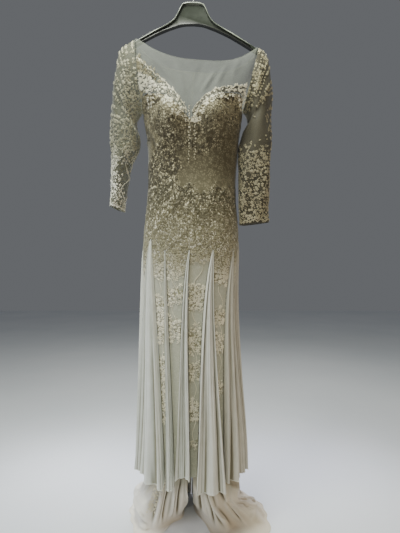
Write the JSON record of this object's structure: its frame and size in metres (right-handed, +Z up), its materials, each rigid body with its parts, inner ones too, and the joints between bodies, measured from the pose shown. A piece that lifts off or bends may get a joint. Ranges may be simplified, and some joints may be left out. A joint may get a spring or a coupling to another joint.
{
  "type": "wedding dress on a hanger",
  "caption": "Long-sleeved lace wedding dress with a sheer yoke, sweetheart bodice, flared panels let into the skirt and a small train, hanging from a shaped plastic hanger.",
  "frame": {"origin": "point inside the hanger's hook that rests on the rail", "axes": "+Z up, +X to the right as the front of the dress is seen, the front of the dress faces -Y"},
  "size_m": [0.5033, 0.2957, 1.6969],
  "materials": {
    "lace": "ivory corded lace over a champagne lining",
    "chiffon": "soft matte ivory chiffon",
    "tulle": "sheer ivory tulle",
    "sleeve_lace": "sheer tulle with ivory lace laid on it",
    "satin": "covered satin",
    "plastic": "moulded grey-green plastic, satin",
    "steel": "bright steel wire"
  },
  "bodies": {
    "root": {"gore_01_side_left": "lace", "gore_02_front_side_left": "lace", "gore_03_princess_left": "lace", "gore_04_front_middle": "lace", "gore_05_princess_right": "lace", "gore_06_front_side_right": "lace", "gore_07_side_right": "lace", "gore_08_back_side_right": "lace", "gore_09_back_right": "lace", "gore_10_back_middle": "lace", "gore_11_back_left": "lace", "gore_12_back_side_left": "lace", "godet_01_side_left": "chiffon", "godet_02_front_side_left": "chiffon", "godet_03_princess_left": "chiffon", "godet_04_front_middle": "chiffon", "godet_05_princess_right": "chiffon", "godet_06_front_side_right": "chiffon", "godet_07_side_right": "chiffon", "godet_08_back_side_right": "chiffon", "godet_09_back_right": "chiffon", "godet_10_back_middle": "chiffon", "godet_11_back_left": "chiffon", "godet_12_back_side_left": "chiffon", "yoke_front": "tulle", "yoke_back_right": "tulle", "yoke_back_left": "tulle", "sleeve_left": "sleeve_lace", "sleeve_right": "sleeve_lace", "lace_edging_left": "lace", "lace_edging_right": "lace", "button_01": "satin", "button_02": "satin", "button_03": "satin", "button_04": "satin", "button_05": "satin", "button_06": "satin", "button_07": "satin", "button_08": "satin", "button_09": "satin", "button_10": "satin", "button_11": "satin", "button_12": "satin", "train_front_left": "chiffon", "train_front_right": "chiffon", "train_back_right": "chiffon", "train_back_left": "chiffon", "hanger_body": "plastic", "hanger_hook": "steel"}
  },
  "joints": []
}
